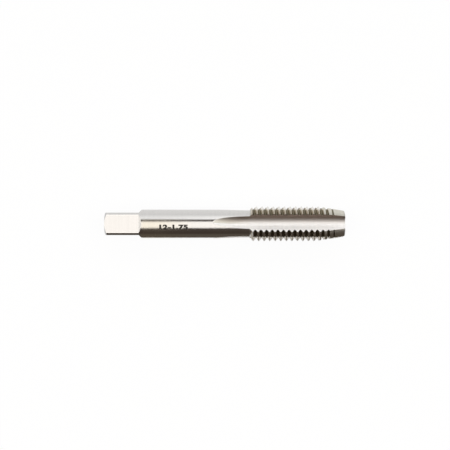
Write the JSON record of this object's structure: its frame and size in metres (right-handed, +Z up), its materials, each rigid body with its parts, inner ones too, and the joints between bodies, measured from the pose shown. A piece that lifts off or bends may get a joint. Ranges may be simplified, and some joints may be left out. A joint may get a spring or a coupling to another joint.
{
  "type": "thread tap",
  "caption": "Hand tap for cutting an internal metric thread: square drive end, plain round shank, and a straight-fluted threaded body with a tapered lead at the tip.",
  "frame": {"origin": "centre of the square drive end's face, on the tap's axis", "axes": "+X along the tap's axis from the square drive end to the tip; +Z up, square to one flat of the drive square and out of one flute; the tap lies on its side"},
  "size_m": [0.075, 0.0108, 0.0108],
  "materials": {
    "ground_steel": "ground high-speed steel, bright and uncoated"
  },
  "bodies": {
    "root": {"tap": "ground_steel"}
  },
  "joints": []
}
